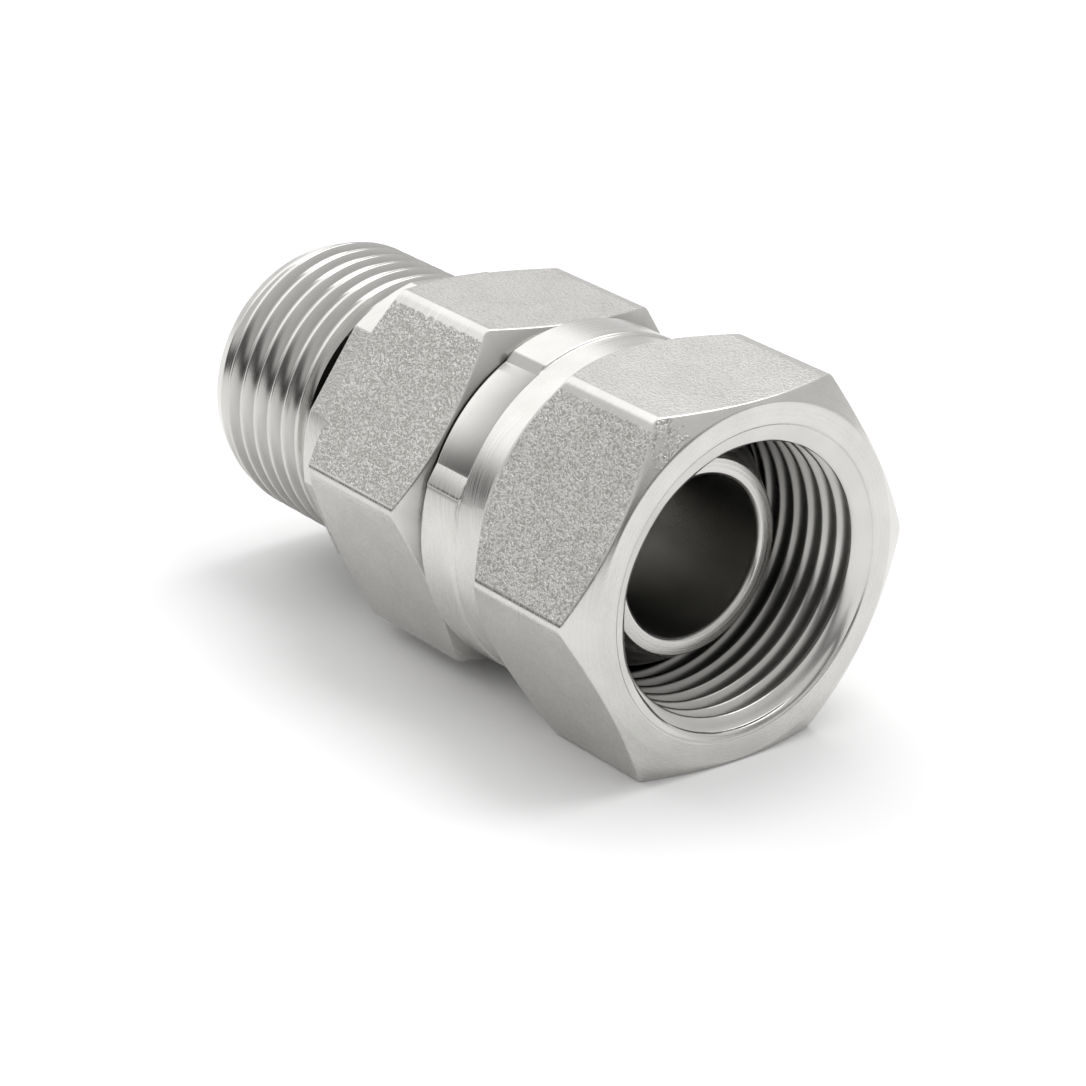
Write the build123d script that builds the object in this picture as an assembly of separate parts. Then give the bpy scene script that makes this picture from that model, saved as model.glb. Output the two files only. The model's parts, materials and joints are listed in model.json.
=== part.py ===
from build123d import *
import math
import os

# Straight adapter fitting: a male stud thread on one end and a swivel nut on the other.
# It lies as it would on a table, with one flat of the nut down. The axis runs along X, the
# nut's open mouth faces +X, +Z is up, and the origin is under the middle of the fitting.
# Sizes are in millimetres. A station is a distance along the axis, back from the nut's mouth.

# Swivel nut: a hexagon with a turned collar and a crimped lip behind it. The wall is what
# stands between the thread's roots and a flat, and makes the hexagon 32 mm across flats.
nut_wall = 2.78
nut_edge_radius = 0.85
nut_hexagon_length = 16.0
nut_face_step = 0.4
nut_face_angle = 30.0
nut_collar_step = 0.6
nut_collar_angle = 42.0
nut_collar_length = 3.2
nut_lip_rise = 0.2
nut_lip_length = 4.8
nut_lip_edge = 0.4

# Swivel nut's pipe thread, drawn as a plain bore on its crests
nut_root_diameter = 26.44
nut_thread_depth = 1.16
nut_mouth_step = 0.58
nut_thread_length = 13.0

# Crimp: the lip is closed in behind the body's bead and pressed down along one arc
lip_wall_length = 2.8
lip_lead = 0.6
crimp_depth = 0.35
crimp_start_angle = 116.0
crimp_end_angle = 157.0

# Body's coned nose, neck and bead inside the nut
passage_diameter = 14.2
passage_edge = 0.3
nose_depth = 6.8
nose_face_width = 1.55
nose_half_angle = 30.0
nose_side_room = 0.86
neck_step = 0.4
bead_length = 2.7
bead_edge = 0.4
running_clearance = 0.3

# Body's hexagon and seat collar
body_across_flats = 30.0
body_edge_radius = 0.8
body_hexagon_length = 14.9
body_face_step = 0.3
body_face_angle = 30.0
body_turn = -4.45
collar_step = 0.6
collar_flat_depth = 0.6
collar_length = 3.4
collar_edge = 0.3

# Male stud thread, drawn as a plain cylinder on its crests
stud_diameter = 25.4
stud_thread_length = 12.2
stud_start_edge = 0.4
stud_lead_length = 2.4
stud_lead_drop = 0.9
relief_length = 2.3
relief_step = 1.5

# Stations, from the mouth back
nut_lip_station = nut_hexagon_length + nut_collar_length
nut_length = nut_lip_station + nut_lip_length
lip_wall_station = nut_length - lip_wall_length
bead_back_station = lip_wall_station - running_clearance
bead_front_station = bead_back_station - bead_length
hexagon_station = nut_length + running_clearance
collar_station = hexagon_station + body_hexagon_length
relief_station = collar_station + collar_length
thread_station = relief_station + relief_length
stud_lead_station = thread_station + stud_thread_length
stud_end_station = stud_lead_station + stud_lead_length

# Radii of the nut
nut_across_flats = nut_root_diameter + 2 * nut_wall
nut_collar_radius = nut_across_flats / 2 - nut_collar_step
nut_lip_radius = nut_collar_radius + nut_lip_rise
nut_root_radius = nut_root_diameter / 2
nut_crest_radius = nut_root_radius - nut_thread_depth
nut_mouth_radius = nut_root_radius + nut_mouth_step
nut_mouth_lead = nut_mouth_radius - nut_crest_radius

# Radii of the body
passage_radius = passage_diameter / 2
nose_face_radius = passage_radius + nose_face_width
nose_radius = nut_crest_radius - nose_side_room
neck_radius = nose_radius - neck_step
bead_radius = nut_root_radius - running_clearance
lip_hole_radius = neck_radius + running_clearance
stud_radius = stud_diameter / 2
relief_radius = stud_radius - relief_step
collar_radius = body_across_flats / 2 - collar_step
collar_flats = 2 * (collar_radius - collar_flat_depth)

# The fitting rests on whichever hexagon reaches lower
half_side_angle = 30.0
body_corner_radius = body_across_flats / 2 / math.cos(math.radians(half_side_angle))
body_corner_drop = body_corner_radius * math.cos(math.radians(half_side_angle - abs(body_turn)))
axis_height = max(nut_across_flats / 2, body_corner_drop)
mouth_x = stud_end_station / 2


def along(station):
    """X position of a station measured back from the nut's mouth."""
    return mouth_x - station


def turned(points):
    """Solid turned about the X axis from a closed outline of (station, radius) points."""
    outline = Polyline(*[(along(station), radius) for station, radius in points], close=True)
    return revolve(make_face(outline), Axis.X, 360)


def six_flats(across_flats, edge_radius, front, back):
    """Hexagon bar between two stations, flats up and down, with rounded long edges."""
    section = RegularPolygon(across_flats / 2, 6, major_radius=False)
    section = fillet(section.vertices(), edge_radius)
    return extrude(Plane.YZ.offset(along(back)) * section, back - front)


def corner_chamfer(across_flats, radius, angle):
    """Radius just outside a hexagon's corners, and how long a cone from radius to it is."""
    outside = across_flats / 2 / math.cos(math.radians(half_side_angle)) * 1.01
    return outside, (outside - radius) * math.tan(math.radians(angle))


def nut_blank():
    """Hexagon with both ends chamfered, and the round collar and lip turned behind it."""
    face_radius = nut_across_flats / 2 - nut_face_step
    outside, front_cone = corner_chamfer(nut_across_flats, face_radius, nut_face_angle)
    back_cone = (outside - nut_collar_radius) * math.tan(math.radians(90 - nut_collar_angle))
    hexagon = turned([
        (0, 0),
        (0, face_radius),
        (front_cone, outside),
        (nut_hexagon_length - back_cone, outside),
        (nut_hexagon_length, nut_collar_radius),
        (nut_hexagon_length, 0),
    ])
    hexagon &= six_flats(nut_across_flats, nut_edge_radius, 0, nut_hexagon_length)
    rings = turned([
        (nut_hexagon_length, 0),
        (nut_hexagon_length, nut_collar_radius),
        (nut_lip_station, nut_collar_radius),
        (nut_lip_station + nut_lip_rise, nut_lip_radius),
        (nut_length - nut_lip_edge, nut_lip_radius),
        (nut_length, nut_lip_radius - nut_lip_edge),
        (nut_length, 0),
    ])
    return hexagon + rings


def nut_inside():
    """Mouth lead, thread, pocket for the bead and the hole in the crimped lip."""
    lip_front = lip_hole_radius + lip_lead
    return turned([
        (0, 0),
        (0, nut_mouth_radius),
        (nut_mouth_lead, nut_crest_radius),
        (nut_thread_length, nut_crest_radius),
        (nut_thread_length + nut_thread_depth, nut_root_radius),
        (lip_wall_station, nut_root_radius),
        (lip_wall_station, lip_front),
        (lip_wall_station + lip_lead, lip_hole_radius),
        (nut_length, lip_hole_radius),
        (nut_length, 0),
    ])


def crimp_mark():
    """What the closing tool presses off the lip: an arc's depth, then a flat run-out."""
    floor = nut_lip_radius - crimp_depth
    above = nut_lip_radius + crimp_depth
    arc = crimp_end_angle - crimp_start_angle
    corners = [
        (along(nut_lip_station), floor),
        (along(nut_lip_station), above),
        (along(nut_length), above),
        (along(nut_length), floor),
    ]
    band = revolve(make_face(Polyline(*corners, close=True)), Axis.X, arc)
    middle = along((nut_lip_station + nut_length) / 2)
    run_out = Pos(middle, (floor + above) / 2, 0) * Box(nut_lip_length, above - floor, nut_lip_radius)
    return Rot(crimp_start_angle, 0, 0) * band + Rot(crimp_end_angle, 0, 0) * run_out


def swivel_nut():
    """Nut with its thread, its pocket and the crimp mark."""
    return nut_blank() - nut_inside() - crimp_mark()


def nose_and_bead():
    """Nose cone that seals, its shank, the bead that holds the nut and the neck behind it."""
    nose_cone = (nose_radius - nose_face_radius) / math.tan(math.radians(nose_half_angle))
    return turned([
        (nose_depth, 0),
        (nose_depth, nose_face_radius),
        (nose_depth + nose_cone, nose_radius),
        (bead_front_station, nose_radius),
        (bead_front_station, bead_radius - bead_edge),
        (bead_front_station + bead_edge, bead_radius),
        (bead_back_station - bead_edge, bead_radius),
        (bead_back_station, bead_radius - bead_edge),
        (bead_back_station, neck_radius),
        (hexagon_station, neck_radius),
        (hexagon_station, 0),
    ])


def body_hexagon():
    """Spanner hexagon, chamfered at both ends and turned against the nut's flats."""
    face_radius = body_across_flats / 2 - body_face_step
    outside, cone = corner_chamfer(body_across_flats, face_radius, body_face_angle)
    blank = turned([
        (hexagon_station, 0),
        (hexagon_station, face_radius),
        (hexagon_station + cone, outside),
        (collar_station - cone, outside),
        (collar_station, face_radius),
        (collar_station, 0),
    ])
    flats = six_flats(body_across_flats, body_edge_radius, hexagon_station, collar_station)
    return Rot(body_turn, 0, 0) * (blank & flats)


def seat_collar():
    """Round seat collar behind the hexagon, with the forging's flats left on it."""
    blank = turned([
        (collar_station, 0),
        (collar_station, collar_radius),
        (relief_station - collar_edge, collar_radius),
        (relief_station, collar_radius - collar_edge),
        (relief_station, 0),
    ])
    flats = six_flats(collar_flats, body_edge_radius, collar_station, relief_station)
    return Rot(body_turn, 0, 0) * (blank & flats)


def stud():
    """Thread relief behind the collar, the stud on its thread's crests and its tapered lead."""
    return turned([
        (relief_station, 0),
        (relief_station, relief_radius),
        (thread_station, relief_radius),
        (thread_station, stud_radius - stud_start_edge),
        (thread_station + stud_start_edge, stud_radius),
        (stud_lead_station, stud_radius),
        (stud_end_station, stud_radius - stud_lead_drop),
        (stud_end_station, 0),
    ])


def passage():
    """Straight flow passage through the whole body, with its edges broken."""
    return turned([
        (nose_depth, 0),
        (nose_depth, passage_radius + passage_edge),
        (nose_depth + passage_edge, passage_radius),
        (stud_end_station - passage_edge, passage_radius),
        (stud_end_station, passage_radius + passage_edge),
        (stud_end_station, 0),
    ])


def adapter_body():
    """Body in one piece, from the nose in the nut to the end of the stud."""
    return nose_and_bead() + body_hexagon() + seat_collar() + stud() - passage()


pieces = {
    "swivel_nut": swivel_nut(),
    "adapter_body": adapter_body(),
}

os.makedirs("parts", exist_ok=True)
for name, solid in pieces.items():
    placed = Pos(0, 0, axis_height) * solid
    export_step(placed, f"parts/{name}.step")
    box = placed.bounding_box()
    print(name, "volume", round(placed.volume, 1), "from", box.min, "to", box.max)
print("length", round(stud_end_station, 2), "mouth at x", round(mouth_x, 2), "axis at z", axis_height)
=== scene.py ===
# %% [markdown]
# # A straight adapter fitting with a swivel nut
# The real fitting is two pieces of stainless steel. The body is one long turning: a stud
# thread, a seat collar, a spanner hexagon and a coned nose. The nut turns on a bead behind
# that nose and can't come off, because its back lip was closed in over the bead.
# The measured frame gives both pieces at their real size. Here each gets what the frame
# leaves out: real threads, broken edges, the forged skin on its flats and the turning marks.

# %% Load the frame
import json
import math
import bmesh
import bpy
import numpy as np
from mathutils import Matrix, Vector

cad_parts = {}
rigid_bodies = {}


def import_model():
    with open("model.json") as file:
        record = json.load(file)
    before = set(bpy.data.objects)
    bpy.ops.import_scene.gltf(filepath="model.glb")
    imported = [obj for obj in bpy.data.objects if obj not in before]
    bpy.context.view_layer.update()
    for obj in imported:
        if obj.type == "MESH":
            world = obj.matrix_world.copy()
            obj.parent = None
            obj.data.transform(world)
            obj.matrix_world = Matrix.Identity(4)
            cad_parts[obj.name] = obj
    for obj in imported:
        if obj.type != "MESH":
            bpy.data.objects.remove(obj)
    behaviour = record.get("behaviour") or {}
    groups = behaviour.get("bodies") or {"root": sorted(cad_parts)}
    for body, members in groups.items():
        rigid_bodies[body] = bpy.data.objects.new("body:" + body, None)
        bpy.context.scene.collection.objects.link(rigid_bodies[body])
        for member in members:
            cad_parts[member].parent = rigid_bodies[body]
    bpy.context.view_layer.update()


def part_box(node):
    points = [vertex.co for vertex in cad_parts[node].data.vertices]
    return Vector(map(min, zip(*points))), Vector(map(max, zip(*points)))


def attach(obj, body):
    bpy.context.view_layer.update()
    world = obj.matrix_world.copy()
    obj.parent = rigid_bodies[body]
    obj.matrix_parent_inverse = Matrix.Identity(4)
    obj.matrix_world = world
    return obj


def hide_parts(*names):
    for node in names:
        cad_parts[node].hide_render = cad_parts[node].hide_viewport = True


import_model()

nut_low, nut_high = (corner * 1000 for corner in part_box("swivel_nut"))
body_low, body_high = (corner * 1000 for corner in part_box("adapter_body"))

# %% [markdown]
# ## Stations and radii
# A turner measures a fitting from one end, so this lesson does too. A station is a distance
# in millimetres back from the nut's open mouth, and a radius is a distance from the axis.
# The mouth, the axis and both lengths come from the frame, so the pieces can't drift off it.
# The rest repeats the drawing's own sizes, each written once.

# %% Sizes read from the frame
mouth_x = nut_high.x
axis_height = (nut_low.z + nut_high.z) / 2
nut_length = nut_high.x - nut_low.x
nut_apothem = (nut_high.z - nut_low.z) / 2
nose_depth = mouth_x - body_high.x
stud_end = mouth_x - body_low.x
print(f"mouth at x {mouth_x:.2f}, axis at z {axis_height:.2f}, nut {nut_length:.2f} long,",
      f"nose at {nose_depth:.2f}, stud ends at {stud_end:.2f} mm")

# %% [markdown]
# ## One outline for every angle
# A hexagon nut is a bar of six flats that was then turned: cones cut its corners, and the
# turned rings behind it are round. A boolean would leave ragged triangles where the cones
# meet the flats. Instead the piece is built as columns, like the staves of a barrel. For each
# angle round the axis there is one closed outline of stations and radii, and every outline
# has the same number of points. The curved edge where a cone leaves a flat is then one
# smooth line of points, and it can be softened like any other corner.

# %% Distance from the axis to a hexagon with rounded edges
HALF_SIDE = math.radians(30)


def hexagon_radius(angles, apothem, edge_radius, turn=0.0):
    """Radius of a rounded hexagon at each angle in degrees; flats face up and down at turn 0."""
    from_flat = (np.asarray(angles) - turn) % 60 - 30
    lean = np.radians(np.abs(from_flat))
    centre = (apothem - edge_radius) / math.cos(HALF_SIDE)
    off = HALF_SIDE - lean
    rounded = centre * np.cos(off) + np.sqrt(np.maximum(edge_radius**2 - (centre * np.sin(off))**2, 0))
    on_flat = apothem * np.tan(lean) <= (apothem - edge_radius) * math.tan(HALF_SIDE)
    return np.where(on_flat, apothem / np.cos(lean), rounded)


corner = hexagon_radius([0, 30], nut_apothem, 0.85)
print(f"the nut is {corner[0]:.2f} mm from the axis at a corner and {corner[1]:.2f} at a flat")

# %% [markdown]
# ## Where the columns stand
# A flat needs few columns and a rounded edge needs many, so the columns crowd together at
# the six edges. The first and last column stand at the same angle, a full turn apart. They
# are welded later, which also closes a thread whose outline has moved on by one pitch.

# %% Angles of the columns
edge_steps = [0.0, 0.35, 0.7, 1.05, 1.4, 1.8]
even_from, even_columns = 2.6, 44


def column_angles(first_edge, marks=()):
    """Sorted column angles in degrees over one full turn, crowded at six edges and at marks."""
    side = np.concatenate([edge_steps, np.linspace(even_from, 60 - even_from, even_columns),
                           60 - np.array(edge_steps[:0:-1])])
    turn = np.concatenate([first_edge + 60 * k + side for k in range(6)] + [np.array(marks)])
    return np.unique(np.round(np.append(turn[turn < first_edge + 360], first_edge + 360), 4))


print("columns on a plain hexagon piece:", len(column_angles(0)))

# %% [markdown]
# ## Broken corners
# No real corner is sharp. A deburred edge on a fitting is a tenth or two of a millimetre
# wide, and it is what catches the light. `soften` swaps each corner of the outlines for a
# short curve that starts a chosen reach away from the corner, on every column at once.

# %% Soften the corners of all outlines at once
CURVE_STEPS = np.linspace(0, 1, 4)[None, :, None]


def outline(columns, *points):
    """Outlines from (station, radius, reach) points; a station or radius may differ by column."""
    at = np.stack([np.stack([np.broadcast_to(s, columns), np.broadcast_to(r, columns)], -1)
                   for s, r, reach in points], 1).astype(float)
    parts = [at[:, :1]]
    for k in range(1, len(points) - 1):
        before, here, after = at[:, k - 1:k], at[:, k:k + 1], at[:, k + 1:k + 2]
        reach = points[k][2]
        if reach == 0:
            parts.append(here)
            continue
        back, ahead = before - here, after - here
        back_length = np.linalg.norm(back, axis=-1, keepdims=True)
        ahead_length = np.linalg.norm(ahead, axis=-1, keepdims=True)
        start = here + back / back_length * np.minimum(reach, 0.45 * back_length)
        end = here + ahead / ahead_length * np.minimum(reach, 0.45 * ahead_length)
        t = CURVE_STEPS
        parts.append((1 - t)**2 * start + 2 * t * (1 - t) * here + t**2 * end)
    parts.append(at[:, -1:])
    return np.concatenate(parts, 1)


sample = outline(1, (0, 0, 0), (1, 0, 0.1), (1, 1, 0))
print("one softened corner has", sample.shape[1] - 2, "points")

# %% [markdown]
# ## The form of a thread
# A thread is a vee with a rounded root, wound round the axis. `groove` gives its height above
# the root at a distance from the root's middle line. The stud's thread has a wide round root
# and a flat crest. The tool leaves a fine lip at each side of that crest, and the two lips
# are what shows as a double bright line. A pipe thread has round crests and round roots, so
# a cosine wave gives its form.

# %% Height of a thread across one pitch
def groove(distance, half_angle, root_radius):
    """Height above the root of a vee with a round root, at a distance from its middle."""
    tangent = root_radius * math.cos(half_angle)
    away = np.abs(distance)
    round_part = root_radius - np.sqrt(np.maximum(root_radius**2 - np.minimum(away, tangent)**2, 0))
    return round_part + np.maximum(away - tangent, 0) / math.tan(half_angle)


stud_pitch, stud_crest = 25.4 / 12, 12.7
stud_flank, stud_root_radius, stud_depth = math.radians(30), 0.68, 0.86
stud_crest_half, lip_width, lip_height = 0.17, 0.05, 0.03


def stud_height(phase):
    """Height of the stud's thread above its root; phase counts pitches, whole at a crest."""
    from_crest = np.abs((phase + 0.5) % 1 - 0.5) * stud_pitch
    vee = np.minimum(groove(stud_pitch / 2 - from_crest, stud_flank, stud_root_radius), stud_depth)
    flat = np.clip((stud_crest_half - lip_width - from_crest) / lip_width + 1, 0, 1)
    return vee - lip_height * flat


nut_pitch, nut_root, nut_depth = 25.4 / 14, 13.22, 1.16
nut_crest_share = 0.8


def nut_height(phase):
    """How far the pipe thread stands in from its root; phase counts pitches, whole at a crest."""
    wave = 0.5 + 0.5 * np.cos(2 * math.pi * phase)
    return nut_depth * wave**nut_crest_share


print(f"stud thread {stud_pitch:.3f} mm pitch, {stud_depth:.2f} deep;",
      f"pipe thread {nut_pitch:.3f} mm pitch, {nut_depth:.2f} deep")

# %% [markdown]
# ## Winding the thread
# If the points of a thread lie on fixed stations, each crest crosses them as a staircase. So
# the stations are wound too: each row of points follows the helix, and the crest is one clean
# line. At the ends of the thread the rows pile up on the last station, and welding points
# that coincide removes the pile.

# %% Stations that follow the helix
stud_rows = np.array([0, 0.056, 0.068, 0.08, 0.1, 0.16, 0.23, 0.31, 0.4])
stud_phases = np.concatenate([stud_rows, [0.5], 1 - stud_rows[:0:-1]])
nut_rows = np.array([0, 0.04, 0.08, 0.13, 0.19, 0.25, 0.31, 0.37, 0.43])
nut_phases = np.concatenate([nut_rows, [0.5], 1 - nut_rows[:0:-1]])


def wound_stations(angles, pitch, phases, first, last, start):
    """Stations of thread rows for each column, from first to last, clipped to that stretch."""
    turns = np.arange(-1, int((last - first) / pitch) + 3)
    rows = (turns[:, None] + phases[None, :]).ravel() * pitch
    helix = start - pitch * (np.asarray(angles)[:, None] - angles[0]) / 360
    low = int(np.searchsorted(rows, first - start))
    high = int(np.searchsorted(rows, last - start + pitch)) + 1
    return np.clip(helix + rows[None, max(low - 1, 0):high], first, last)


def phase_at(stations, angles, pitch, start):
    """Thread phase at each station of each column: a whole number lies on a crest."""
    return (stations - start) / pitch + (np.asarray(angles)[:, None] - angles[0]) / 360


print("points to a pitch:", len(stud_phases), "on the stud and", len(nut_phases), "in the nut")

# %% [markdown]
# ## From columns to a mesh
# One function turns the outlines into a closed mesh. It also stores five measures on every
# point, which the finish will need: how far along the outline it lies, how far inside forged
# skin and how coarse that skin is, whether it is on a thread, and how much painted shade its
# colour gets. The mesh then knows where a lathe, a die or a hammer touched it, wherever the
# piece is turned.

# %% Build a piece from its outlines
def piece_from_columns(name, angles, loops, measures):
    """Closed mesh from one outline per angle, welded at the seam, with measures on its points."""
    columns, rows = loops.shape[:2]
    turn = np.radians(angles)[:, None]
    points = np.stack([mouth_x - loops[..., 0],
                       loops[..., 1] * np.cos(turn),
                       axis_height + loops[..., 1] * np.sin(turn)], -1) / 1000
    column, row = np.meshgrid(np.arange(columns - 1), np.arange(rows), indexing="ij")
    after = (row + 1) % rows
    quads = np.stack([column * rows + row, column * rows + after,
                      (column + 1) * rows + after, (column + 1) * rows + row], -1).reshape(-1, 4)
    mesh = bpy.data.meshes.new(name)
    mesh.from_pydata(points.reshape(-1, 3).tolist(), [], quads.tolist())
    for measure, values in measures.items():
        layer = mesh.attributes.new(measure, "FLOAT", "POINT")
        layer.data.foreach_set("value", np.ascontiguousarray(values, dtype=np.float32).ravel())
    weld(mesh)
    piece = bpy.data.objects.new(name, mesh)
    bpy.context.scene.collection.objects.link(piece)
    return piece


WELD_DISTANCE = 2e-6


def weld(mesh):
    """Joins points that coincide, drops faces without area and turns all faces outwards."""
    work = bmesh.new()
    work.from_mesh(mesh)
    bmesh.ops.remove_doubles(work, verts=work.verts, dist=WELD_DISTANCE)
    bmesh.ops.dissolve_degenerate(work, edges=work.edges, dist=WELD_DISTANCE)
    if work.calc_volume(signed=True) < 0:
        bmesh.ops.reverse_faces(work, faces=work.faces)
    for face in work.faces:
        face.smooth = True
    open_edges = sum(not edge.is_manifold for edge in work.edges)
    print(f"{mesh.name}: {len(work.faces)} faces, {open_edges} open edges,",
          f"{work.calc_volume() * 1e6:.2f} cubic centimetres")
    work.to_mesh(mesh)
    work.free()


def weigh_normals(piece):
    """Lets large faces decide the shading, so flats stay flat up to their softened edges."""
    modifier = piece.modifiers.new("flat_faces", "WEIGHTED_NORMAL")
    modifier.mode = "FACE_AREA"
    modifier.weight = 100
    modifier.keep_sharp = False


def along_outline(loops):
    """Distance along each outline, in millimetres, from its first point."""
    steps = np.linalg.norm(np.diff(loops, axis=1), axis=-1)
    return np.concatenate([np.zeros((len(loops), 1)), np.cumsum(steps, axis=1)], 1)


print(f"points closer than {WELD_DISTANCE * 1000:.3f} mm are welded")

# %% [markdown]
# ## Where the forging's skin is left
# Both hexagons keep the skin that the forging die and the shot blasting gave them. It is
# coarse on two opposite faces and finer on the others, and it stops short of the edges, which
# are bright from handling. One edge of each face is worn in a wide band and the other three in
# a narrow one. The first helper fades a value in. The second measures how far a point lies
# inside a flat. The third gives each face its grit.

# %% Measure the forged skin
def fade(distance, width):
    """0 below zero distance, 1 beyond the width, smooth between."""
    t = np.clip(distance / width, 0, 1)
    return t * t * (3 - 2 * t)


OTHER_BORDERS = 6
ON_PLANE = 0.02


def forged_skin(angles, loops, apothem, edge_radius, turn, first, last, width):
    """How far a point lies inside a flat of a hexagon, as a share of a border's width."""
    from_flat = np.radians((np.asarray(angles) - turn) % 60 - 30)[:, None]
    station, radius = loops[..., 0], loops[..., 1]
    on_plane = np.abs(radius * np.cos(from_flat) - apothem) < ON_PLANE
    half_flat = (apothem - edge_radius) * math.tan(HALF_SIDE)
    from_upper_edge = half_flat + radius * np.sin(from_flat)
    from_lower_edge = half_flat - radius * np.sin(from_flat)
    from_ends = np.minimum(station - first, last - station)
    inside = np.minimum(from_upper_edge, OTHER_BORDERS * np.minimum(from_ends, from_lower_edge))
    return on_plane * np.clip(inside / width, 0, 1)


FACE_GRIT = [0.5, 0.35, 1.0, 0.3, 0.5, 1.0]


def face_grit(angles, turn):
    """Coarseness of the skin on each of the six faces, for every angle."""
    face = ((np.asarray(angles) - turn) % 360 // 60).astype(int)
    return np.array(FACE_GRIT)[face]


print("coarsest skin on faces", [k for k, grit in enumerate(FACE_GRIT) if grit == 1.0])

# %% [markdown]
# ## The swivel nut
# The nut is forged as a hexagon, then turned from both ends: a flat chamfer at the mouth, a
# steep cone at the back, and behind it a collar and a lip. The lip is closed in over the body's
# bead with a tool that leaves a pressed patch on one side. That patch is the feature that shows
# the nut is held for good.

# %% The nut's own sizes
nut_edge_radius = 0.85
nut_hexagon_length = 16.0
nut_face_radius = nut_apothem - 0.4
nut_face_slope = math.tan(math.radians(30))
nut_collar_radius = nut_apothem - 0.6
nut_back_slope = math.tan(math.radians(48))
nut_lip_station, nut_lip_radius, nut_lip_edge = 19.2, 15.6, 0.4
nut_mouth_radius, nut_mouth_edge = 13.8, 0.16
nut_thread_front, nut_thread_end = 0.17, 13.2
nut_pocket_front, nut_lip_wall = 14.1, nut_length - 2.8
nut_lip_hole, nut_lip_lead = 11.1, 0.6
nut_thread_start, lead_slope = 1.0, 3.0
print(f"hexagon {2 * nut_apothem:.1f} across flats and {nut_hexagon_length:.1f} long,",
      f"lip {nut_length - nut_lip_station:.1f} long")

# %% [markdown]
# ## The pressed patch
# The closing tool pushed the lip down over about a ninth of a turn. It left a steep wall where
# it started and a short ramp with a small burr where it slid off. Thin dark lines of painted
# shade mark the wall, the step and the burr, and they are what the eye finds first.

# %% Lip radius round the nut
press_start, press_end, press_floor = 116.0, 157.0, nut_lip_radius - 0.35
wall_lean, ramp_length, burr_height, burr_length = 1.6, 7.2, 0.05, 0.7
ramp_end = press_end + ramp_length
# Shares of painted shade at the pressed patch's wall, burr and step.
PRESS_SHADE = {"wall": 0.6, "burr": 0.65, "step": 0.6}


def lip_radius(angles):
    """The lip's radius at each angle: full, pressed down, and on the ramp out with its burr."""
    knots = [press_start - wall_lean, press_start + wall_lean, press_end, ramp_end,
             ramp_end + burr_length]
    radii = [nut_lip_radius, press_floor, press_floor, nut_lip_radius + burr_height, nut_lip_radius]
    return np.interp(np.asarray(angles), knots, radii)


def press_shade(angles, loops):
    """Painted shade in the corners of the pressed patch: along its wall, its step and its burr."""
    station, radius = loops[..., 0], loops[..., 1]
    on_lip = (station > nut_lip_station + 0.1) & (radius > press_floor - 0.3)
    wall = PRESS_SHADE["wall"] * (np.abs(angles - press_start) < wall_lean)
    burr = PRESS_SHADE["burr"] * (np.abs(angles - ramp_end - burr_length) < 0.6)
    pressed = (angles > press_start) & (angles < press_end)
    step = PRESS_SHADE["step"] * pressed * (station < nut_lip_station + 0.3)
    return on_lip * np.maximum(np.maximum(wall, burr), step)


print(f"the lip is pressed {nut_lip_radius - press_floor:.2f} mm down",
      f"from {press_start:.0f} to {press_end:.0f} degrees")

# %% [markdown]
# ## The nut's outline
# The outline starts inside the mouth and runs over the front face, the front cone, a flat, the
# back cone, the collar and the lip. There it turns in to the pocket, and the thread's rows
# lead back to the mouth. The third number of a point is the reach of its softened corner.
# Flats and cone carry a few points more, because the measures for the finish live on points
# and need some where the skin fades.

# %% Outline of the nut's outside and its thread
SKIN_STEPS = (0.3, 0.7, 1.3)
CONE_SHARES = (0.2, 0.6)


def flat_points(front, back, flat):
    """Extra points on a flat: near both ends, where the skin fades, and in the middle."""
    near_front = [(front + step, flat, 0) for step in SKIN_STEPS]
    near_back = [(back - step, flat, 0) for step in reversed(SKIN_STEPS)]
    return [*near_front, ((front + back) / 2, flat, 0), *near_back]


def nut_outside(angles, flat, front, back):
    """Outline from the mouth over the outside of the nut and round the lip to the pocket."""
    lip = lip_radius(angles)
    cone = [(share * front, nut_face_radius + share * (flat - nut_face_radius), 0)
            for share in CONE_SHARES]
    return outline(
        len(angles),
        (nut_mouth_edge, nut_mouth_radius - nut_mouth_edge, 0),
        (0, nut_mouth_radius, 0.12),
        (0, nut_face_radius, 0.25),
        *cone,
        (front, flat, 0.22),
        *flat_points(front, back, flat),
        (back, flat, 0.18),
        (nut_hexagon_length, nut_collar_radius, 0.25),
        (nut_lip_station, nut_collar_radius, 0.06),
        (nut_lip_station + 0.16, lip, 0.1),
        (nut_length - nut_lip_edge, lip, 0.15),
        (nut_length, lip - nut_lip_edge, 0.15),
        (nut_length, nut_lip_hole, 0.12),
        (nut_lip_wall + nut_lip_lead, nut_lip_hole, 0.1),
        (nut_lip_wall, nut_lip_hole + nut_lip_lead, 0.1),
        (nut_lip_wall, nut_root, 0.1),
        (nut_pocket_front, nut_root, 0),
    )


def nut_thread(angles):
    """Rows of the pipe thread with its steep lead, from the inner end out to the mouth."""
    stations = wound_stations(angles, nut_pitch, nut_phases, nut_thread_front, nut_thread_end,
                              nut_thread_start)
    phase = phase_at(stations, angles, nut_pitch, nut_thread_start)
    lead = nut_mouth_radius - lead_slope * (stations - nut_mouth_edge) - nut_mouth_edge
    radii = np.maximum(nut_root - nut_height(phase), lead)
    return np.stack([stations, radii], -1)[:, ::-1]


print("a flat gets", len(flat_points(0, 1, 0)), "extra points")
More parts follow.
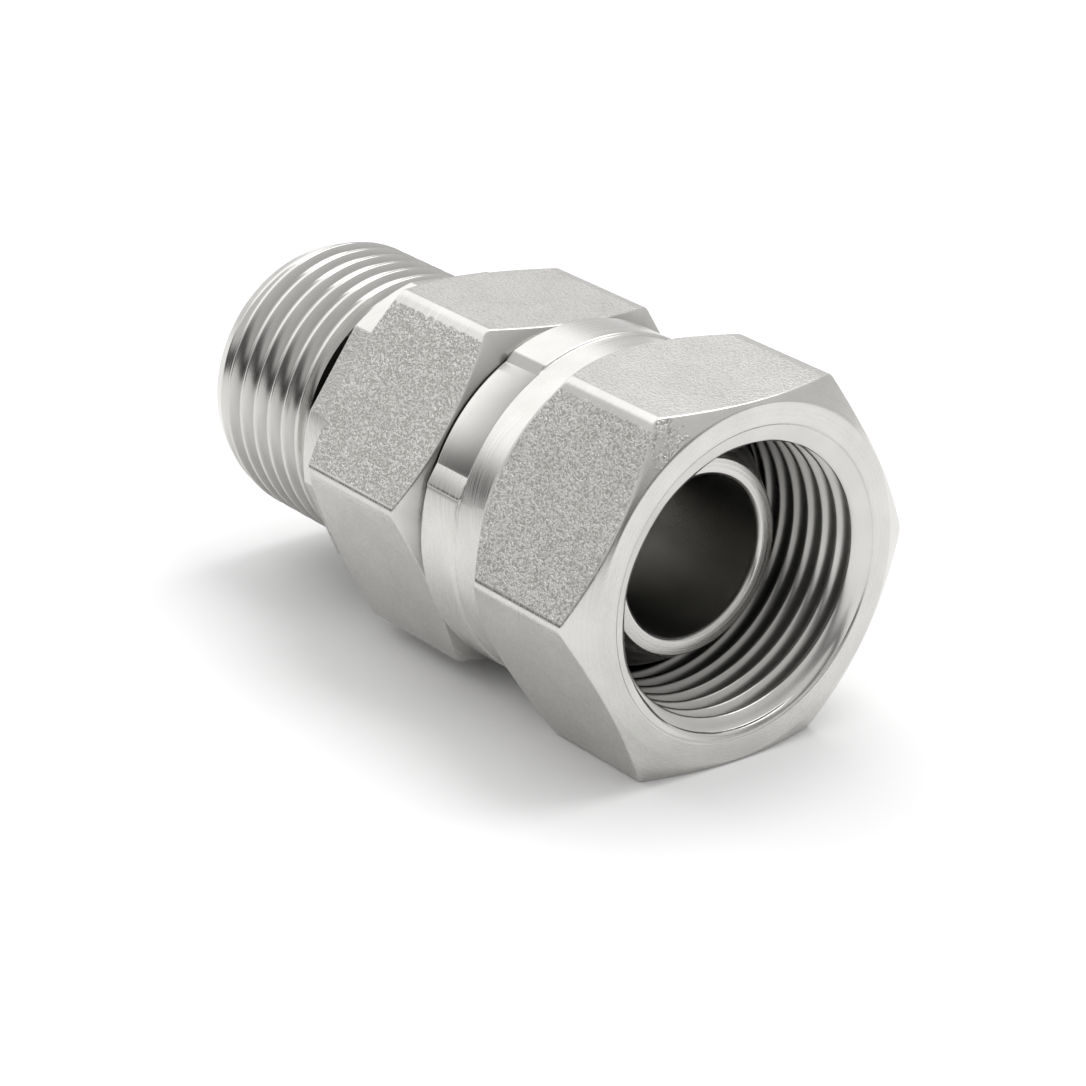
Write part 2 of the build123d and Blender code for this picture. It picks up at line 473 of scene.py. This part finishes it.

# %% [markdown]
# ## What the nut's finish needs to know
# Painted shade darkens the colour more with depth inside the mouth, more so in the roots of the
# thread, and the closed gap behind the lip is painted black. One corner of the front chamfer
# still shows forging scale, because the forging was a little too small there for the chamfer
# to clean it up.

# %% Measures on the nut's points
SKIN_BORDER = 1.4
SCALE_LEFT_AT, SCALE_WIDTH, SCALE_SHARE = 122.0, 12, 0.47
# Shares of painted shade inside the nut: on the crests, in the roots and with depth.
NUT_SHADE = {"crests": 0.12, "roots": 0.25, "depth": 0.6}
turns_shade_from, turns_shade_over = 0.7, 1.2
depth_shade_from, depth_shade_over = 1.5, 9.0


def nut_painted_shade(angles, loops):
    """How much painted shade each point of the nut gets, from 0 to 1."""
    station, radius = loops[..., 0], loops[..., 1]
    inside = radius < nut_mouth_radius + 0.3
    behind_lead = fade(station - turns_shade_from, turns_shade_over)
    to_root = fade(radius - nut_root + nut_depth, nut_depth)
    on_turns = behind_lead * (NUT_SHADE["crests"] + NUT_SHADE["roots"] * to_root)
    in_depth = NUT_SHADE["depth"] * fade(station - depth_shade_from, depth_shade_over)
    painted_shade = inside * (on_turns + in_depth)
    # The closed gap behind the lip is painted fully black as shade.
    back_face = (station > nut_length - 0.05) & (radius < nut_lip_radius - 0.6)
    painted_shade = np.maximum(painted_shade, back_face)
    return np.maximum(painted_shade, press_shade(angles[:, None], loops))


def nut_skin(angles, loops, front, back):
    """Forged skin on the flats, scale left on one corner of the chamfer, and their grit."""
    skin = forged_skin(angles, loops, nut_apothem, nut_edge_radius, 0,
                       front[:, None], back[:, None], SKIN_BORDER)
    on_chamfer = (loops[..., 0] < front[:, None]) & (loops[..., 1] > nut_face_radius + 0.1)
    near_corner = 1 - fade(np.abs(angles - SCALE_LEFT_AT) - 3, SCALE_WIDTH)
    skin = np.where(on_chamfer, SCALE_SHARE * near_corner[:, None], skin)
    grit = np.where(on_chamfer, 1.0, face_grit(angles, 0)[:, None])
    return skin, grit


print("shade inside the nut:", NUT_SHADE)

# %% [markdown]
# ## Build the nut
# All columns are computed at once and joined into one mesh. It rides the nut's body, so it
# turns with the joint, and it takes the place of the plain solid.

# %% The nut with its thread
def swivel_nut():
    """The nut as one closed mesh, with its thread, its lip and the measures of its finish."""
    marks = [press_start - wall_lean, press_start, press_start + wall_lean, press_end,
             ramp_end - burr_length, ramp_end, ramp_end + burr_length]
    angles = column_angles(0, marks)
    flat = hexagon_radius(angles, nut_apothem, nut_edge_radius)
    front = (flat - nut_face_radius) * nut_face_slope
    back = nut_hexagon_length - (flat - nut_collar_radius) * nut_back_slope
    outside = nut_outside(angles, flat, front, back)
    loops = np.concatenate([outside, nut_thread(angles)], 1)
    on_thread = np.zeros(loops.shape[:2])
    on_thread[:, outside.shape[1]:] = 1
    skin, grit = nut_skin(angles, loops, front, back)
    measures = {"along": along_outline(loops), "skin": skin, "thread": on_thread,
                "painted_shade": nut_painted_shade(angles, loops), "grit": grit}
    return piece_from_columns("nut_with_thread", angles, loops, measures)


nut = swivel_nut()
weigh_normals(nut)
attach(nut, "swivel_nut")
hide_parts("swivel_nut")

# %% [markdown]
# ## The adapter body
# The body runs from the nose inside the nut to the end of the stud. Its hexagon lies a few
# degrees round from the nut's. Behind the hexagon a round collar seats on the port; where the
# forging was too small for the turned diameter, its six flats are left on the collar.

# %% The body's own sizes
body_turn = -4.45
body_apothem, body_edge_radius = 15.0, 0.8
body_face_radius, body_face_slope = body_apothem - 0.3, math.tan(math.radians(30))
passage_radius, passage_edge = 7.1, 0.3
nose_face_radius, nose_radius = 8.65, 11.2
nose_cone_end = nose_depth + (nose_radius - nose_face_radius) / math.tan(math.radians(30))
bead_front, bead_back, bead_radius, bead_edge = 18.2, 20.9, 12.92, 0.4
neck_radius = 10.8
hexagon_front = nut_length + 0.3
hexagon_back = hexagon_front + 14.9
collar_radius, collar_apothem, collar_edge = 14.4, 13.8, 0.3
collar_back = hexagon_back + 3.4
relief_radius = stud_crest - 1.5
stud_front = collar_back + 2.3
stud_lead = stud_front + 12.2
stud_lead_slope = 0.9 / 2.4
stud_start_edge = 0.4
collar_flat_half = math.degrees(math.acos(collar_apothem / collar_radius))
print(f"hexagon {2 * body_apothem:.1f} across flats, turned {body_turn} degrees,",
      f"each flat on the collar spans {2 * collar_flat_half:.1f} degrees")

# %% [markdown]
# ## The stud
# The stud's thread is rolled, so its crests are at the full radius. It runs out on a tapered
# lead that helps the fitting start in its port. The turns fade there, and the last stretch is
# smooth.

# %% The stud's radius and its thread rows
turns_fade_after, turns_fade_length = 0.2, 1.3


def stud_radius(stations, phase):
    """Radius of the stud: thread, with its first edge broken and its tapered lead smooth."""
    rolled = stud_crest - stud_depth + stud_height(phase)
    smooth_end = fade(stations - stud_lead - turns_fade_after, turns_fade_length)
    rolled = rolled + (stud_crest - rolled) * smooth_end
    start_cone = stud_crest - stud_start_edge + (stations - stud_front)
    lead_cone = stud_crest - (stations - stud_lead) * stud_lead_slope
    return np.minimum(np.minimum(rolled, start_cone), lead_cone)


def body_thread(angles):
    """Rows of the stud's thread, from the relief to the end face."""
    first, last = stud_front + 0.01, stud_end - 0.12
    stations = wound_stations(angles, stud_pitch, stud_phases, first, last, stud_front)
    phase = phase_at(stations, angles, stud_pitch, stud_front)
    return np.stack([stations, stud_radius(stations, phase)], -1)


print(f"stud {stud_end - stud_front:.1f} mm long,",
      f"{(stud_lead - stud_front) / stud_pitch:.1f} full turns")

# %% [markdown]
# ## The body's outline
# The outline starts at the nose and runs back over the shank, the bead, the neck, the hexagon
# and the collar to the stud. The thread follows, and the end face and the passage lead back to
# the nose. At each angle the collar takes the smaller of its round and its forged flat.

# %% Outline of the body's outside and its passage
def body_outside(angles, flat, front, back, collar):
    """Outline from the nose over the outside of the body to the start of the stud."""
    return outline(
        len(angles),
        (nose_depth + passage_edge, passage_radius, 0),
        (nose_depth, passage_radius + passage_edge, 0.08),
        (nose_depth, nose_face_radius, 0.1),
        (nose_cone_end, nose_radius, 0.3),
        (bead_front, nose_radius, 0.3),
        (bead_front, bead_radius - bead_edge, 0.1),
        (bead_front + bead_edge, bead_radius, 0.1),
        (bead_back - bead_edge, bead_radius, 0.1),
        (bead_back, bead_radius - bead_edge, 0.1),
        (bead_back, neck_radius, 0.3),
        (hexagon_front, neck_radius, 0.3),
        (hexagon_front, body_face_radius, 0.15),
        (front, flat, 0.2),
        *flat_points(front, back, flat),
        (back, flat, 0.2),
        (hexagon_back, body_face_radius, 0.15),
        (hexagon_back, collar, 0.12),
        (hexagon_back + 0.3, collar, 0),
        (hexagon_back + 0.8, collar, 0),
        (collar_back - collar_edge - 0.3, collar, 0),
        (collar_back - collar_edge, collar, 0.12),
        (collar_back, collar - collar_edge, 0.12),
        (collar_back, relief_radius, 0.35),
        (stud_front, relief_radius, 0.35),
        (stud_front, stud_crest - stud_start_edge, 0),
    )


def body_inside(angles):
    """Outline of the end face and the passage, back to the nose."""
    end_radius = stud_crest - (stud_end - stud_lead) * stud_lead_slope
    in_passage = [stud_end - 8, hexagon_back, hexagon_front, bead_front, nose_cone_end,
                  nose_depth + passage_edge + 0.3]
    return outline(
        len(angles),
        (stud_end - 0.1, end_radius + 0.03, 0),
        (stud_end, end_radius, 0.1),
        (stud_end, passage_radius + passage_edge, 0.08),
        (stud_end - passage_edge, passage_radius, 0.08),
        *[(station, passage_radius, 0) for station in in_passage],
    )


print(f"the passage is {2 * passage_radius:.1f} mm wide and {stud_end - nose_depth:.1f} mm long")

# %% [markdown]
# ## What the body's finish needs to know
# The gap behind the nut and the relief under the collar are painted black as shade, and the
# nose inside the nut nearly so. The foot of the collar, the cone that faces the nut and the
# roots of the stud's thread get painted shade too, each less than the one before. The
# collar's forged flats get a little painted shade, and the passage just enough to look smooth
# and a little grey.

# %% Measures on the body's points
# Shares of painted shade on the body, from the black gap down to the faint passage.
BODY_SHADE = {"gap": 1.0, "nose": 0.85, "collar foot": 0.9, "cone": 0.5, "roots": 0.42,
              "collar flats": 0.22, "passage": 0.14}
COLLAR_GRIT, COLLAR_BORDER = 0.4, 0.3
BORDERS_OFF_THE_FLAT = -4.0


def body_skin(angles, loops, front, back):
    """Forged skin on the hexagon's flats, and apart from it that on the collar's."""
    on_hexagon = forged_skin(angles, loops, body_apothem, body_edge_radius, body_turn,
                             front[:, None], back[:, None], SKIN_BORDER)
    on_collar = forged_skin(angles, loops, collar_apothem, BORDERS_OFF_THE_FLAT, body_turn,
                            hexagon_back, collar_back - collar_edge, COLLAR_BORDER)
    return on_hexagon, on_collar


def body_painted_shade(loops, front, collar_skin, on_thread):
    """How much painted shade each point of the body gets, from 0 to 1."""
    station, radius = loops[..., 0], loops[..., 1]
    in_passage = radius < passage_radius + 0.05
    in_gap = (station > bead_front) & (station < hexagon_front + 0.05)
    in_gap = in_gap & (radius < body_face_radius)
    in_relief = (station > collar_back - 0.02) & (station < stud_front + 0.02)
    in_relief = in_relief & (radius < stud_crest)
    on_nose = (station < bead_front + 0.1) & (station > nose_depth + 0.5) & ~in_passage
    on_cone = (station > hexagon_front - 0.05) & (station < front[:, None] + 0.02)
    on_cone = on_cone & (radius > body_face_radius - 0.1)
    at_collar = (station > hexagon_back - 0.01) & (station < collar_back)
    at_collar = at_collar & (radius < collar_radius + 0.01) & (radius > relief_radius)
    below_crest = np.clip((stud_crest - radius) / stud_depth, 0, 1)
    return np.maximum.reduce([
        BODY_SHADE["gap"] * (in_gap | in_relief),
        BODY_SHADE["nose"] * on_nose,
        BODY_SHADE["collar foot"] * at_collar * (1 - fade(station - hexagon_back, 0.8)),
        BODY_SHADE["cone"] * on_cone * (1 - fade(radius - body_face_radius, 2.2)),
        BODY_SHADE["roots"] * on_thread * below_crest * (station < stud_lead),
        BODY_SHADE["collar flats"] * collar_skin,
        BODY_SHADE["passage"] * in_passage,
    ])


print("shade on the body:", BODY_SHADE)

# %% [markdown]
# ## Build the body
# The collar's flats end in corners that a plain set of columns would step across, so three
# columns stand close together at each of those corners.

# %% The body with its stud
def adapter_body():
    """The body as one closed mesh, with its thread and the measures of its finish."""
    flats = [body_turn + 30 + 60 * k for k in range(6)]
    marks = [centre + side * (collar_flat_half + off) for centre in flats
             for side in (-1, 1) for off in (-0.25, 0, 0.25)]
    angles = column_angles(body_turn, marks)
    flat = hexagon_radius(angles, body_apothem, body_edge_radius, body_turn)
    forged = hexagon_radius(angles, collar_apothem, body_edge_radius, body_turn)
    collar = np.minimum(collar_radius, forged)
    chamfer = (flat - body_face_radius) * body_face_slope
    front, back = hexagon_front + chamfer, hexagon_back - chamfer
    outside = body_outside(angles, flat, front, back, collar)
    thread = body_thread(angles)
    loops = np.concatenate([outside, thread, body_inside(angles)], 1)
    on_thread = np.zeros(loops.shape[:2])
    on_thread[:, outside.shape[1]:outside.shape[1] + thread.shape[1]] = 1
    skin, collar_skin = body_skin(angles, loops, front, back)
    grit = np.where(collar_skin > 0, COLLAR_GRIT, face_grit(angles, body_turn)[:, None])
    painted_shade = body_painted_shade(loops, front, collar_skin, on_thread)
    measures = {"along": along_outline(loops), "skin": skin + collar_skin, "thread": on_thread,
                "painted_shade": painted_shade, "grit": grit}
    return piece_from_columns("body_with_stud", angles, loops, measures)


body = adapter_body()
weigh_normals(body)
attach(body, "adapter_body")
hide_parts("adapter_body")

# %% [markdown]
# ## A small hand for shader nodes
# A finish is a chain of nodes. This helper adds one node, sets its own settings, and fills
# its sockets with numbers or with the outputs of other nodes, so a finish reads as a list.

# %% Shader node helper
def add(tree, kind, sockets=None, **settings):
    """Adds a shader node; a socket's value is a number, a colour or another node's output."""
    node = tree.nodes.new("ShaderNode" + kind)
    for key, value in settings.items():
        setattr(node, key, value)
    for key, value in (sockets or {}).items():
        if isinstance(value, bpy.types.NodeSocket):
            tree.links.new(value, node.inputs[key])
        else:
            node.inputs[key].default_value = value
    return node


def remap(tree, value, low, high, to_low, to_high):
    """Linear remap of a value from one range to another, held at both ends."""
    sockets = {"Value": value, "From Min": low, "From Max": high, "To Min": to_low, "To Max": to_high}
    return add(tree, "MapRange", sockets).outputs["Result"]


def smooth_remap(tree, value, low, high, to_high=1.0):
    """Remap from a range to 0 and a top value, with a soft start and end."""
    sockets = {"Value": value, "From Min": low, "From Max": high, "To Max": to_high}
    return add(tree, "MapRange", sockets, interpolation_type="SMOOTHSTEP").outputs["Result"]


def times(tree, first, second):
    """Product of two values."""
    return add(tree, "Math", {0: first, 1: second}, operation="MULTIPLY").outputs[0]


def blend(tree, share, first, second):
    """Mix of two values: the first at share 0, the second at share 1."""
    return add(tree, "Mix", {0: share, 2: first, 3: second}, data_type="FLOAT").outputs[0]


def blend_colours(tree, share, first, second):
    """Mix of two colours: the first at share 0, the second at share 1."""
    return add(tree, "Mix", {0: share, 6: first, 7: second}, data_type="RGBA").outputs[2]


def measure(tree, name):
    """A measure stored on the points, as a shader value."""
    return add(tree, "Attribute", attribute_name=name).outputs["Fac"]


def noise(tree, place, scale, detail, **sockets):
    """Noise value at a place."""
    values = {"Vector": place, "Scale": scale, "Detail": detail}
    values.update(sockets)
    return add(tree, "TexNoise", values).outputs["Fac"]


print("measures a shader can read:", [layer.name for layer in nut.data.attributes
                                      if layer.domain == "POINT" and layer.data_type == "FLOAT"])

# %% [markdown]
# ## Forged skin
# Shot blasting leaves fine worms of metal, bright on their backs and dark between. A stretched
# noise gives those worms. They lift the surface a tenth of a millimetre through a bump, and the
# pits between them get painted shade in the colour, both by the grit of the face. A coarser
# noise makes the skin's border ragged, as handling does.

# %% Skin and grain
GRAIN_SCALE, RAGGED_SCALE = 4000, 1500


def forged_grain(tree, place):
    """Where the skin lies, the height of its worms, and how coarse they are there."""
    ragged = noise(tree, place, RAGGED_SCALE, 2)
    stored = measure(tree, "skin")
    ragged_skin = add(tree, "Math", {0: ragged, 1: -0.5, 2: stored}, operation="MULTIPLY_ADD")
    skin = remap(tree, ragged_skin.outputs[0], 0.16, 0.24, 0, 1)
    grain = noise(tree, place, GRAIN_SCALE, 1.5, Roughness=0.5, Distortion=0.8)
    worms = remap(tree, grain, 0.39, 0.61, 0, 1)
    return skin, worms, times(tree, skin, measure(tree, "grit"))


print(f"worms about {1000 / GRAIN_SCALE:.2f} mm apart")

# %% [markdown]
# ## Turning rings
# A lathe tool leaves rings all round the axis. The measure along the outline changes fast and
# the place round the axis hardly at all, so a noise of both gives rings on faces, cones and
# barrels alike. In shade the rings would only flicker, so they fade to an even value there.

# %% Rings
RING_SCALE, CROSS_SCALE = 9.0, 18


def turning_rings(tree, place, open_air):
    """Height of the turning rings, even where a point lies in shade."""
    split = add(tree, "SeparateXYZ", {0: place})
    ring_place = add(tree, "CombineXYZ", {
        "X": times(tree, measure(tree, "along"), RING_SCALE),
        "Y": times(tree, split.outputs["Y"], CROSS_SCALE),
        "Z": times(tree, split.outputs["Z"], CROSS_SCALE),
    }).outputs[0]
    return blend(tree, open_air, 0.5, noise(tree, ring_place, 1.0, 2))


print(f"rings about {1 / RING_SCALE:.2f} mm apart")

# %% [markdown]
# ## The steel
# The whole fitting is one grade of stainless steel with three finishes. Forged skin is dull,
# turned faces carry rings, and rolled or cut threads are nearly polished. The measures stored
# on the points choose between them, so one material covers a whole piece and follows the tool.

# %% The steel's finishes
CLOUD_SCALE = 260
GRAIN_LIFT, RING_LIFT = 0.00012, 0.000005
SKIN_ROUGH, RING_ROUGH = 0.36, (0.2, 0.34)
# The dark colour and the share of the painted shade that the stored measure lays on the steel.
PAINTED_SHADE_COLOUR, PAINTED_SHADE_SHARE = (0.035, 0.035, 0.03, 1), 0.85


def steel_colour(tree, place, worms, rough_skin, painted_shade, base, shadow):
    """Colour: bright steel, painted shade in the pits, faintly clouded, and darkened by the
    painted-shade measure.
    """
    # Painted shade in the pits between the worms of the forged skin.
    pit_shade = times(tree, remap(tree, worms, 0, 1, 0.62, 0), rough_skin)
    colour = blend_colours(tree, pit_shade, (*base, 1), (*shadow, 1))
    clouds = remap(tree, noise(tree, place, CLOUD_SCALE, 3), 0.35, 0.7, 0, 0.14)
    cloudy = blend_colours(tree, clouds, colour, (*shadow, 1))
    # Painted shade: the colour goes dark wherever the stored measure says a point lies in shade.
    return blend_colours(tree, times(tree, painted_shade, PAINTED_SHADE_SHARE), cloudy, PAINTED_SHADE_COLOUR)


def steel(name, base, shadow, thread_rough):
    """Stainless steel with forged skin, turning marks and polished threads."""
    material = bpy.data.materials.new(name)
    material.use_nodes = True
    tree = material.node_tree
    tree.nodes.clear()
    place = add(tree, "TexCoord").outputs["Object"]
    thread, painted_shade = measure(tree, "thread"), measure(tree, "painted_shade")
    open_air = remap(tree, painted_shade, 0, 0.14, 1, 0)
    skin, worms, rough_skin = forged_grain(tree, place)
    rings = turning_rings(tree, place, open_air)

    turned = times(tree, remap(tree, skin, 0, 1, 1, 0), remap(tree, thread, 0, 1, 1, 0.25))
    ring_strength = times(tree, times(tree, turned, open_air), 0.6)
    skin_bump = add(tree, "Bump", {"Strength": rough_skin, "Distance": GRAIN_LIFT, "Height": worms})
    ring_bump = add(tree, "Bump", {"Strength": ring_strength, "Distance": RING_LIFT,
                                   "Height": rings, "Normal": skin_bump.outputs[0]})
    rough = blend(tree, skin, remap(tree, rings, 0.3, 0.7, *RING_ROUGH), SKIN_ROUGH)
    rough = blend(tree, thread, rough, thread_rough)
    colour = steel_colour(tree, place, worms, rough_skin, painted_shade, base, shadow)
    shader = add(tree, "BsdfPrincipled", {"Base Color": colour, "Metallic": 1.0,
                                          "Roughness": rough, "Normal": ring_bump.outputs[0]})
    add(tree, "OutputMaterial", {"Surface": shader.outputs[0]})
    print(name, "has", len(tree.nodes), "nodes")
    return material


nut.data.materials.append(steel("nut_steel", (0.64, 0.63, 0.61), (0.26, 0.25, 0.23), 0.27))
body.data.materials.append(steel("body_steel", (0.63, 0.62, 0.60), (0.25, 0.24, 0.22), 0.2))

# %% [markdown]
# ## The table
# The fitting lies on a plain white table. One wide sheet is enough, because the camera looks
# down and never sees its edge.

# %% A pale floor
TABLE_HALF = 1.6


def white_table():
    """A wide pale floor under the fitting."""
    work = bmesh.new()
    bmesh.ops.create_grid(work, x_segments=8, y_segments=8, size=TABLE_HALF)
    mesh = bpy.data.meshes.new("table")
    work.to_mesh(mesh)
    work.free()
    table = bpy.data.objects.new("table", mesh)
    bpy.context.scene.collection.objects.link(table)
    paper = bpy.data.materials.new("table_white")
    paper.use_nodes = True
    shader = paper.node_tree.nodes["Principled BSDF"]
    shader.inputs["Base Color"].default_value = (0.93, 0.93, 0.93, 1)
    shader.inputs["Roughness"].default_value = 0.8
    shader.inputs["Specular IOR Level"].default_value = 0.1
    mesh.materials.append(paper)
    return table


table = white_table()
print(f"the table is {2 * TABLE_HALF:.1f} m wide")

# %% [markdown]
# ## Light
# Polished steel has no look of its own: it shows the room. The room is bright above and
# behind the fitting, brightest up on the left, and dark low down in front, which draws the
# dark band along the stud. One wide soft box, high up and a little behind, throws the soft
# shadow towards the camera.

# %% Room and soft box
WAY_BACK, WAY_TO_PATCH = (-0.55, 0.83, 0), (-0.71, -0.05, 0.70)


def room(low_front, low_back, above, bright_patch):
    """World that is bright overhead, brightest up on the left, and dark low in front."""
    world = bpy.data.worlds.new("studio")
    bpy.context.scene.world = world
    world.use_nodes = True
    tree = world.node_tree
    tree.nodes.clear()
    way = add(tree, "TexCoord").outputs["Generated"]
    split = add(tree, "SeparateXYZ", {0: way})
    height = smooth_remap(tree, split.outputs["Z"], 0.18, 0.38)
    back = add(tree, "VectorMath", {0: way, 1: WAY_BACK}, operation="DOT_PRODUCT")
    behind = smooth_remap(tree, back.outputs["Value"], -0.25, 0.45)
    level = blend(tree, height, blend(tree, behind, low_front, low_back), above)
    facing = add(tree, "VectorMath", {0: way, 1: WAY_TO_PATCH}, operation="DOT_PRODUCT")
    patch = smooth_remap(tree, facing.outputs["Value"], 0.72, 0.88, bright_patch)
    total = add(tree, "Math", {0: level, 1: patch}, operation="ADD").outputs[0]
    light = add(tree, "Background", {"Color": (1, 1, 1, 1), "Strength": total})
    add(tree, "OutputWorld", {"Surface": light.outputs[0]})
    print("the world has", len(tree.nodes), "nodes")


def soft_box(name, at, size, power, aim=(0, 0, 0.016)):
    """A square lamp that faces the fitting."""
    data = bpy.data.lights.new(name, "AREA")
    data.size = size
    data.energy = power
    lamp = bpy.data.objects.new(name, data)
    lamp.location = at
    lamp.rotation_euler = (Vector(aim) - Vector(at)).to_track_quat("-Z", "Y").to_euler()
    bpy.context.scene.collection.objects.link(lamp)
    print(f"{name}: {size:.1f} m wide, {power:.1f} W, {Vector(at).length:.2f} m away")


room(low_front=0.04, low_back=0.75, above=0.78, bright_patch=0.8)
soft_box("box_behind", (0.02, 0.32, 0.8), 0.6, 3.2)

# %% [markdown]
# ## Camera
# The photograph looks down on the mouth from the right front. Its long lens hardly narrows
# the far end. The camera's place is given from the centre of the nut's mouth, as it was
# found from the outlines of the mouth, the nose and both hexagons in the picture.

# %% Camera
camera_from_mouth = Vector((220.7, -200.0, 131.0))
camera_heading = Vector((-0.7144, 0.5776, -0.3951))
camera_roll = math.radians(1.91)
focal_pixels, picture_pixels, sensor_width = 4000, 1086, 36.0

camera_data = bpy.data.cameras.new("camera")
camera_data.sensor_width = sensor_width
camera_data.lens = focal_pixels / picture_pixels * sensor_width
camera_data.clip_start = 0.01
camera = bpy.data.objects.new("camera", camera_data)
mouth_centre = Vector((mouth_x, 0, axis_height))
camera.location = (mouth_centre + camera_from_mouth) / 1000
level_view = camera_heading.to_track_quat("-Z", "Y").to_matrix()
camera.rotation_euler = (level_view @ Matrix.Rotation(camera_roll, 3, "Z")).to_euler()
bpy.context.scene.collection.objects.link(camera)
bpy.context.scene.camera = camera
bpy.context.scene.view_settings.view_transform = "Standard"
print(f"lens {camera_data.lens:.1f} mm, camera {camera_from_mouth.length:.0f} mm from the mouth")
